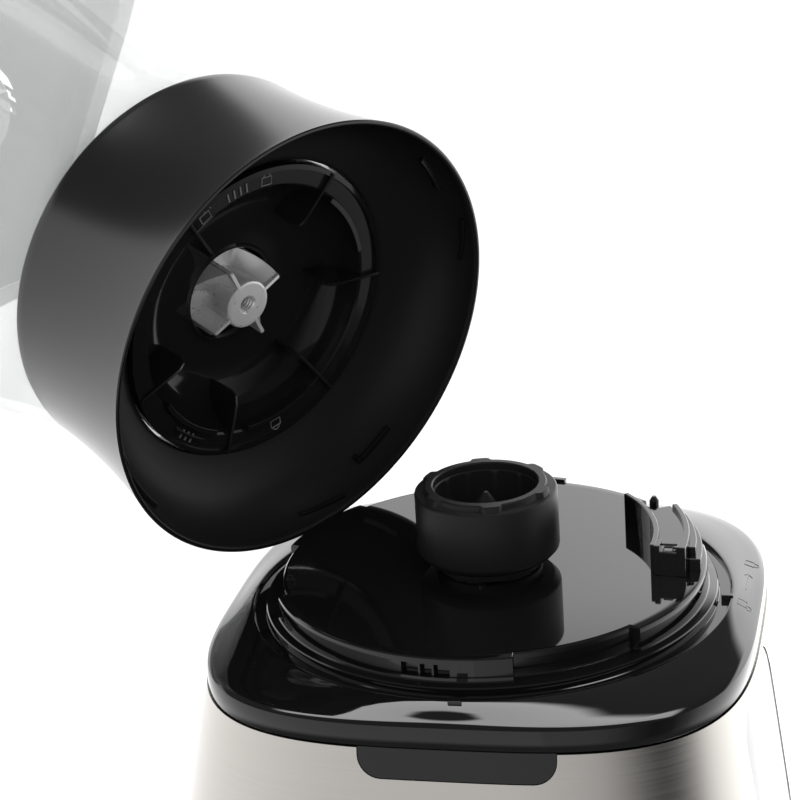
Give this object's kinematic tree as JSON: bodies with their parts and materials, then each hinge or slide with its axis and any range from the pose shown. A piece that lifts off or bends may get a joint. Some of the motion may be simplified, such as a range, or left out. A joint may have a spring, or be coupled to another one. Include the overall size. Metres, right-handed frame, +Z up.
{
  "type": "countertop blender",
  "caption": "Countertop blender with its glass jar tipped off a rounded-square steel motor base, showing the drive coupling and the blade unit's underside.",
  "frame": {"origin": "on the floor at the middle of the whole footprint; the drive axis stands at x -0.0556, y -0.0971", "axes": "+Z up along the drive axis, -Y the front with the control panel, -X the side with the seat's bayonet gap, jar tipped off towards +Y"},
  "size_m": [0.3377, 0.4245, 0.416],
  "materials": {
    "steel_wrapper": "horizontally brushed stainless sheet",
    "bright_steel": "ground steel",
    "black_gloss": "piano black",
    "black_satin": "satin black",
    "grey_plastic": "matte dark grey",
    "panel_grey": "light grey gloss",
    "black_rubber": "matte rubber",
    "die_cast": "die-cast, lightly polished",
    "brass_and_copper": "plain",
    "knob_metal": "spun",
    "clear_silicone": "translucent",
    "clear_plastic": "clear",
    "jar_glass": "clear thick glass"
  },
  "bodies": {
    "base": {"base_shell": "steel_wrapper", "bottom_pan": "black_satin", "carbon_brush_1": "grey_plastic", "carbon_brush_2": "grey_plastic", "control_board": "grey_plastic", "control_panel": "panel_grey", "cord_gland": "black_rubber", "field_coil_1": "brass_and_copper", "field_coil_2": "brass_and_copper", "foot_1": "black_rubber", "foot_2": "black_rubber", "foot_3": "black_rubber", "foot_4": "black_rubber", "interlock_switch": "grey_plastic", "left_side_tab": "grey_plastic", "lower_bearing": "bright_steel", "lower_bracket": "die_cast", "motor_cradle": "grey_plastic", "motor_screw_1": "brass_and_copper", "motor_screw_2": "brass_and_copper", "motor_screw_3": "brass_and_copper", "motor_screw_4": "brass_and_copper", "motor_stator": "bright_steel", "right_side_tab": "grey_plastic", "shaft_seal": "black_rubber", "speed_switch": "grey_plastic", "top_cover": "black_gloss", "upper_bearing": "bright_steel", "upper_bracket": "die_cast"},
    "rotor": {"rotor_core": "bright_steel", "commutator": "brass_and_copper", "cooling_fan": "grey_plastic", "motor_shaft": "bright_steel", "drive_coupling": "black_rubber", "drive_spindle": "grey_plastic"},
    "knob": {"speed_knob": "knob_metal"},
    "pulse": {"pulse_button": "black_satin"},
    "ice": {"ice_button": "black_satin"},
    "power": {"power_button": "black_satin"},
    "interlock": {"interlock_pin": "black_satin"},
    "jar": {"collar": "black_satin", "glass_jar": "jar_glass"},
    "blade_unit": {"blade_unit_base": "black_gloss", "blade_unit_gasket": "clear_silicone", "shaft_bush": "brass_and_copper"},
    "blade": {"blade_shaft": "bright_steel", "driven_coupling": "die_cast", "blade_spacer": "bright_steel", "lower_blade": "bright_steel", "upper_blade": "bright_steel", "blade_nut": "bright_steel"},
    "lid": {"lid": "black_satin", "lid_seal": "clear_silicone"},
    "cap": {"measuring_cap": "clear_plastic"}
  },
  "joints": [
    {"name": "jar_tip", "type": "hinge", "parent": "base", "child": "jar", "pos_m": [-0.01875, -0.02834, 0.19565], "axis": [-0.8715, 0.4555, -0.1816], "range_deg": [-78.88, 0]},
    {"name": "blade_unit_twist", "type": "hinge", "parent": "jar", "child": "blade_unit", "pos_m": [-0.02422, -0.01492, 0.27632], "axis": [0.5747, 0.7883, 0.2196], "range_deg": [0, 25]},
    {"name": "blade_spin", "type": "hinge", "parent": "blade_unit", "child": "blade", "pos_m": [-0.00697, 0.00873, 0.28291], "axis": [0.5747, 0.7883, 0.2196], "continuous": true},
    {"name": "lid_lift", "type": "slide", "parent": "jar", "child": "lid", "axis": [0.5747, 0.7883, 0.2196], "range_m": [0, 0.06]},
    {"name": "cap_lift", "type": "slide", "parent": "lid", "child": "cap", "axis": [0.5747, 0.7883, 0.2196], "range_m": [0, 0.045]},
    {"name": "motor_spin", "type": "hinge", "parent": "base", "child": "rotor", "pos_m": [-0.0556, -0.0971, 0.11], "axis": [0, 0, 1], "continuous": true},
    {"name": "speed_turn", "type": "hinge", "parent": "base", "child": "knob", "pos_m": [-0.0776, -0.1955, 0.09004], "axis": [0, -0.9935, 0.1142], "range_deg": [-135, 135]},
    {"name": "pulse_press", "type": "slide", "parent": "base", "child": "pulse", "axis": [0, 0.9935, -0.1142], "range_m": [0, 0.0016], "stiffness_N_per_m": 400},
    {"name": "ice_press", "type": "slide", "parent": "base", "child": "ice", "axis": [0, 0.9935, -0.1142], "range_m": [0, 0.0016], "stiffness_N_per_m": 400},
    {"name": "power_press", "type": "slide", "parent": "base", "child": "power", "axis": [0, 0.9935, -0.1142], "range_m": [0, 0.0016], "stiffness_N_per_m": 400},
    {"name": "interlock_press", "type": "slide", "parent": "base", "child": "interlock", "axis": [0, 0, -1], "range_m": [0, 0.004], "stiffness_N_per_m": 120}
  ]
}
